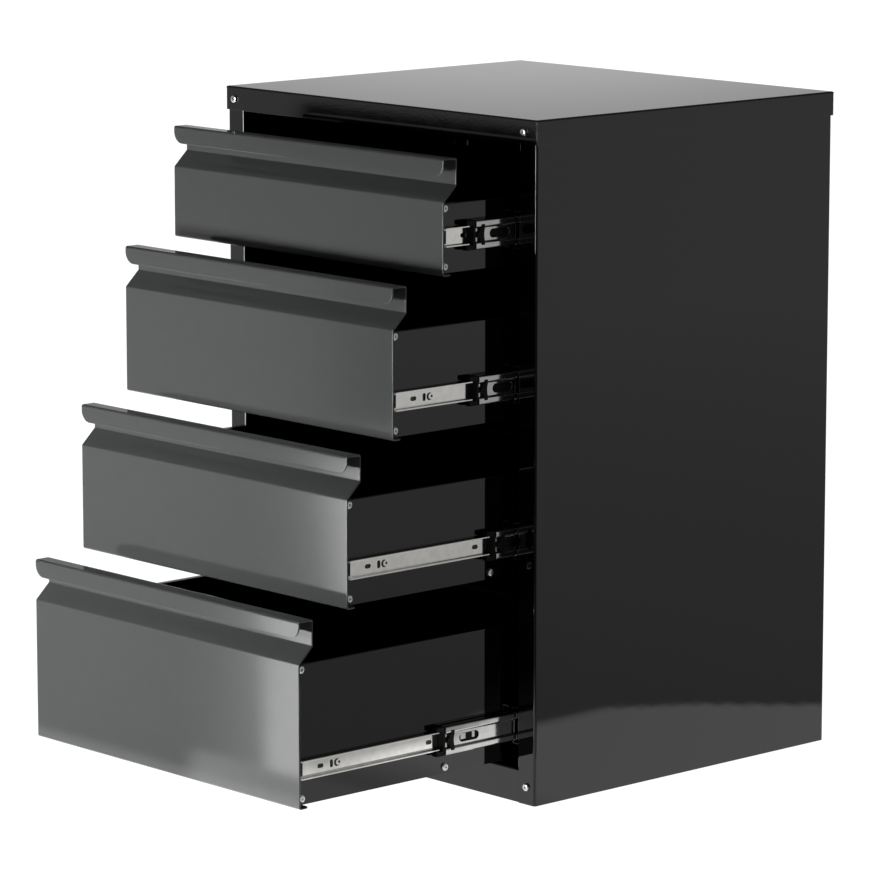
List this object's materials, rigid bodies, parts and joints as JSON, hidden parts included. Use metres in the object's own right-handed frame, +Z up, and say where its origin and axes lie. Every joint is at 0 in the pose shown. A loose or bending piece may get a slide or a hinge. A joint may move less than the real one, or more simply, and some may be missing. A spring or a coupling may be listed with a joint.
{
  "type": "multi-drawer steel cabinet",
  "caption": "Low black steel cabinet with drawers of graded height, folded full-width handles and telescopic ball-bearing slides, drawn partly open.",
  "frame": {"origin": "on the floor, under the middle of the carcass (not of the open drawers)", "axes": "+Z up, -Y is the front, the way the drawers open, +X to the right of a person facing the drawers"},
  "size_m": [0.5, 0.7529, 0.73],
  "materials": {
    "black_powder_coat": "gloss black powder coat",
    "charcoal_powder_coat": "gloss dark grey powder coat",
    "zinc_plated_steel": "bright zinc plate",
    "bright_screw_steel": "bright nickel plate",
    "black_plastic": "satin",
    "ball_cage_steel": "satin"
  },
  "bodies": {
    "cabinet": {"top_cover": "black_powder_coat", "left_side_panel": "black_powder_coat", "right_side_panel": "black_powder_coat", "back_panel": "black_powder_coat", "bottom_panel": "black_powder_coat", "front_rail": "black_powder_coat", "left_rear_post": "black_powder_coat", "right_rear_post": "black_powder_coat", "cabinet_screws": "bright_screw_steel", "slide_screws": "zinc_plated_steel", "drawer_1_outer_slide_members": "zinc_plated_steel", "drawer_2_outer_slide_members": "zinc_plated_steel", "drawer_3_outer_slide_members": "zinc_plated_steel", "drawer_4_outer_slide_members": "zinc_plated_steel"},
    "drawer_1": {"drawer_1_front": "charcoal_powder_coat", "drawer_1_left_side": "black_powder_coat", "drawer_1_right_side": "black_powder_coat", "drawer_1_floor": "black_powder_coat", "drawer_1_back": "black_powder_coat", "drawer_1_screws": "bright_screw_steel", "drawer_1_inner_slide_members": "zinc_plated_steel"},
    "middle_slides_1": {"drawer_1_middle_slide_members": "zinc_plated_steel", "drawer_1_slide_caps_and_clips": "black_plastic"},
    "outer_cages_1": {"drawer_1_outer_ball_cages": "ball_cage_steel"},
    "inner_cages_1": {"drawer_1_inner_ball_cages": "ball_cage_steel"},
    "drawer_2": {"drawer_2_front": "charcoal_powder_coat", "drawer_2_left_side": "black_powder_coat", "drawer_2_right_side": "black_powder_coat", "drawer_2_floor": "black_powder_coat", "drawer_2_back": "black_powder_coat", "drawer_2_screws": "bright_screw_steel", "drawer_2_inner_slide_members": "zinc_plated_steel"},
    "middle_slides_2": {"drawer_2_middle_slide_members": "zinc_plated_steel", "drawer_2_slide_caps_and_clips": "black_plastic"},
    "outer_cages_2": {"drawer_2_outer_ball_cages": "ball_cage_steel"},
    "inner_cages_2": {"drawer_2_inner_ball_cages": "ball_cage_steel"},
    "drawer_3": {"drawer_3_front": "charcoal_powder_coat", "drawer_3_left_side": "black_powder_coat", "drawer_3_right_side": "black_powder_coat", "drawer_3_floor": "black_powder_coat", "drawer_3_back": "black_powder_coat", "drawer_3_screws": "bright_screw_steel", "drawer_3_inner_slide_members": "zinc_plated_steel"},
    "middle_slides_3": {"drawer_3_middle_slide_members": "zinc_plated_steel", "drawer_3_slide_caps_and_clips": "black_plastic"},
    "outer_cages_3": {"drawer_3_outer_ball_cages": "ball_cage_steel"},
    "inner_cages_3": {"drawer_3_inner_ball_cages": "ball_cage_steel"},
    "drawer_4": {"drawer_4_front": "charcoal_powder_coat", "drawer_4_left_side": "black_powder_coat", "drawer_4_right_side": "black_powder_coat", "drawer_4_floor": "black_powder_coat", "drawer_4_back": "black_powder_coat", "drawer_4_screws": "bright_screw_steel", "drawer_4_inner_slide_members": "zinc_plated_steel"},
    "middle_slides_4": {"drawer_4_middle_slide_members": "zinc_plated_steel", "drawer_4_slide_caps_and_clips": "black_plastic"},
    "outer_cages_4": {"drawer_4_outer_ball_cages": "ball_cage_steel"},
    "inner_cages_4": {"drawer_4_inner_ball_cages": "ball_cage_steel"}
  },
  "joints": [
    {"name": "middle_slides_1_travel", "type": "slide", "parent": "cabinet", "child": "middle_slides_1", "axis": [0, -1, 0], "range_m": [-0.0735, 0.1165]},
    {"name": "drawer_1_travel", "type": "slide", "parent": "middle_slides_1", "child": "drawer_1", "axis": [0, -1, 0], "range_m": [-0.0298, 0.1802]},
    {"name": "outer_cages_1_roll", "type": "slide", "parent": "cabinet", "child": "outer_cages_1", "axis": [0, -1, 0], "range_m": [-0.03675, 0.05825]},
    {"name": "inner_cages_1_roll", "type": "slide", "parent": "middle_slides_1", "child": "inner_cages_1", "axis": [0, -1, 0], "range_m": [-0.0149, 0.0901]},
    {"name": "middle_slides_2_travel", "type": "slide", "parent": "cabinet", "child": "middle_slides_2", "axis": [0, -1, 0], "range_m": [-0.069, 0.121]},
    {"name": "drawer_2_travel", "type": "slide", "parent": "middle_slides_2", "child": "drawer_2", "axis": [0, -1, 0], "range_m": [-0.104, 0.106]},
    {"name": "outer_cages_2_roll", "type": "slide", "parent": "cabinet", "child": "outer_cages_2", "axis": [0, -1, 0], "range_m": [-0.0345, 0.0605]},
    {"name": "inner_cages_2_roll", "type": "slide", "parent": "middle_slides_2", "child": "inner_cages_2", "axis": [0, -1, 0], "range_m": [-0.052, 0.053]},
    {"name": "middle_slides_3_travel", "type": "slide", "parent": "cabinet", "child": "middle_slides_3", "axis": [0, -1, 0], "range_m": [-0.0444, 0.1456]},
    {"name": "drawer_3_travel", "type": "slide", "parent": "middle_slides_3", "child": "drawer_3", "axis": [0, -1, 0], "range_m": [-0.1918, 0.0182]},
    {"name": "outer_cages_3_roll", "type": "slide", "parent": "cabinet", "child": "outer_cages_3", "axis": [0, -1, 0], "range_m": [-0.0222, 0.0728]},
    {"name": "inner_cages_3_roll", "type": "slide", "parent": "middle_slides_3", "child": "inner_cages_3", "axis": [0, -1, 0], "range_m": [-0.0959, 0.0091]},
    {"name": "middle_slides_4_travel", "type": "slide", "parent": "cabinet", "child": "middle_slides_4", "axis": [0, -1, 0], "range_m": [-0.1158, 0.0742]},
    {"name": "drawer_4_travel", "type": "slide", "parent": "middle_slides_4", "child": "drawer_4", "axis": [0, -1, 0], "range_m": [-0.186, 0.024]},
    {"name": "outer_cages_4_roll", "type": "slide", "parent": "cabinet", "child": "outer_cages_4", "axis": [0, -1, 0], "range_m": [-0.0579, 0.0371]},
    {"name": "inner_cages_4_roll", "type": "slide", "parent": "middle_slides_4", "child": "inner_cages_4", "axis": [0, -1, 0], "range_m": [-0.093, 0.012]}
  ],
  "couplings": [
    {"joint": "outer_cages_1_roll", "follows": "middle_slides_1_travel", "ratio": 0.5},
    {"joint": "inner_cages_1_roll", "follows": "drawer_1_travel", "ratio": 0.5},
    {"joint": "outer_cages_2_roll", "follows": "middle_slides_2_travel", "ratio": 0.5},
    {"joint": "inner_cages_2_roll", "follows": "drawer_2_travel", "ratio": 0.5},
    {"joint": "outer_cages_3_roll", "follows": "middle_slides_3_travel", "ratio": 0.5},
    {"joint": "inner_cages_3_roll", "follows": "drawer_3_travel", "ratio": 0.5},
    {"joint": "outer_cages_4_roll", "follows": "middle_slides_4_travel", "ratio": 0.5},
    {"joint": "inner_cages_4_roll", "follows": "drawer_4_travel", "ratio": 0.5}
  ]
}
